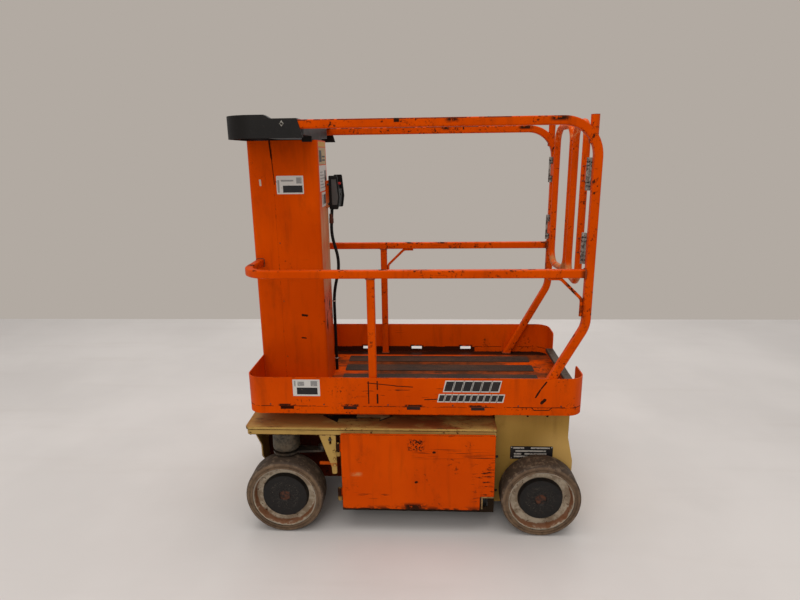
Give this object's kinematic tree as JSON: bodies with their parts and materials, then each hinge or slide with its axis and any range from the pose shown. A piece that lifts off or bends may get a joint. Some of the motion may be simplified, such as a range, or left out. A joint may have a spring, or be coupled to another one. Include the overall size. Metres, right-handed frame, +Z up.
{
  "type": "vertical mast lift",
  "caption": "Compact self-propelled vertical mast lift: wheeled chassis, telescoping covered mast and a railed one-person platform with swing gates.",
  "frame": {"origin": "on the floor, midway between the axles and between the wheels", "axes": "+Z up, -X towards the mast and the steered wheels, +Y to the machine's right"},
  "size_m": [1.377, 0.76, 1.672],
  "materials": {
    "orange_paint": "worn gloss paint",
    "cream_paint": "worn gloss paint with rust",
    "machined_steel": "machined",
    "zinc_steel": "zinc plated",
    "mast_metal": "dull",
    "pad_plastic": "nylon",
    "black_plastic": "moulded",
    "deck_rubber": "gritty",
    "cable_jacket": "smooth",
    "tyre_rubber": "worn, non-marking",
    "rim_paint": "scuffed"
  },
  "bodies": {
    "chassis": {"chassis_plate": "cream_paint", "chassis_tub": "cream_paint", "chassis_spine": "cream_paint", "front_apron": "cream_paint", "bay_gussets": "cream_paint", "king_housings": "machined_steel", "latch_brackets": "black_plastic", "rear_frame": "cream_paint", "rear_axle": "machined_steel", "rear_cover": "cream_paint", "battery_pack": "black_plastic", "hydraulic_unit": "black_plastic", "mast_base": "mast_metal", "mast_base_pads": "pad_plastic", "lift_barrel": "mast_metal"},
    "knuckle_left": {"knuckle_left": "orange_paint"},
    "knuckle_right": {"knuckle_right": "orange_paint"},
    "tie_rod": {"tie_rod": "orange_paint"},
    "door_left": {"door_left": "orange_paint"},
    "door_right": {"door_right": "orange_paint"},
    "mast_stage_1": {"mast_stage_1": "mast_metal", "lift_rod": "machined_steel", "stage_1_pads": "pad_plastic"},
    "mast_stage_2": {"mast_stage_2": "mast_metal", "stage_2_pads": "pad_plastic"},
    "platform": {"carriage": "mast_metal", "carriage_pads": "pad_plastic", "deck_pan": "orange_paint", "deck_grip": "deck_rubber", "toe_board": "orange_paint", "entry_sill": "orange_paint", "side_frame_left": "orange_paint", "side_frame_right": "orange_paint", "mid_rail_left": "orange_paint", "mid_rail_right": "orange_paint", "gate_hinges_left": "zinc_steel", "gate_hinges_right": "zinc_steel", "mast_cover_front": "orange_paint", "mast_cover_rear": "orange_paint", "tool_tray": "black_plastic", "control_box": "black_plastic", "box_bracket": "orange_paint", "control_cable": "cable_jacket"},
    "gate_left": {"gate_left": "orange_paint"},
    "gate_right": {"gate_right": "orange_paint"},
    "wheel_front_left": {"tyre_front_left": "tyre_rubber", "rim_front_left": "rim_paint"},
    "wheel_front_right": {"tyre_front_right": "tyre_rubber", "rim_front_right": "rim_paint"},
    "wheel_rear_left": {"tyre_rear_left": "tyre_rubber", "rim_rear_left": "rim_paint"},
    "wheel_rear_right": {"tyre_rear_right": "tyre_rubber", "rim_rear_right": "rim_paint"}
  },
  "joints": [
    {"name": "steering", "type": "hinge", "parent": "chassis", "child": "knuckle_left", "pos_m": [-0.527, -0.284, 0.338], "axis": [0, 0, 1], "range_deg": [-55, 55]},
    {"name": "steering_right", "type": "hinge", "parent": "chassis", "child": "knuckle_right", "pos_m": [-0.527, 0.284, 0.338], "axis": [0, 0, 1], "range_deg": [-55, 55]},
    {"name": "tie_rod_pivot", "type": "hinge", "parent": "knuckle_left", "child": "tie_rod", "pos_m": [-0.377, -0.284, 0.347], "axis": [0, 0, 1], "range_deg": [-55, 55]},
    {"name": "wheel_front_left_spin", "type": "hinge", "parent": "knuckle_left", "child": "wheel_front_left", "pos_m": [-0.527, -0.33, 0.1615], "axis": [0, 1, 0], "continuous": true},
    {"name": "wheel_front_right_spin", "type": "hinge", "parent": "knuckle_right", "child": "wheel_front_right", "pos_m": [-0.527, 0.33, 0.1615], "axis": [0, 1, 0], "continuous": true},
    {"name": "wheel_rear_left_spin", "type": "hinge", "parent": "chassis", "child": "wheel_rear_left", "pos_m": [0.527, -0.33, 0.1615], "axis": [0, 1, 0], "continuous": true},
    {"name": "wheel_rear_right_spin", "type": "hinge", "parent": "chassis", "child": "wheel_rear_right", "pos_m": [0.527, 0.33, 0.1615], "axis": [0, 1, 0], "continuous": true},
    {"name": "lift", "type": "slide", "parent": "chassis", "child": "mast_stage_1", "axis": [0, 0, 1], "range_m": [0, 1.04]},
    {"name": "stage_2_slide", "type": "slide", "parent": "mast_stage_1", "child": "mast_stage_2", "axis": [0, 0, 1], "range_m": [0, 1.04]},
    {"name": "platform_slide", "type": "slide", "parent": "mast_stage_2", "child": "platform", "axis": [0, 0, 1], "range_m": [0, 1.04]},
    {"name": "door_left_hinge", "type": "hinge", "parent": "chassis", "child": "door_left", "pos_m": [-0.296, -0.362, 0.27], "axis": [0, 0, -1], "range_deg": [0, 105]},
    {"name": "door_right_hinge", "type": "hinge", "parent": "chassis", "child": "door_right", "pos_m": [-0.296, 0.362, 0.27], "axis": [0, 0, 1], "range_deg": [0, 105]},
    {"name": "gate_left_hinge", "type": "hinge", "parent": "platform", "child": "gate_left", "pos_m": [0.638, -0.314, 1.32], "axis": [0, 0, 1], "range_deg": [0, 90], "stiffness_Nm_per_rad": 1.5},
    {"name": "gate_right_hinge", "type": "hinge", "parent": "platform", "child": "gate_right", "pos_m": [0.638, 0.314, 1.32], "axis": [0, 0, -1], "range_deg": [0, 90], "stiffness_Nm_per_rad": 1.5}
  ],
  "couplings": [
    {"joint": "steering_right", "follows": "steering", "ratio": 1},
    {"joint": "tie_rod_pivot", "follows": "steering", "ratio": -1},
    {"joint": "stage_2_slide", "follows": "lift", "ratio": 1},
    {"joint": "platform_slide", "follows": "lift", "ratio": 1}
  ]
}
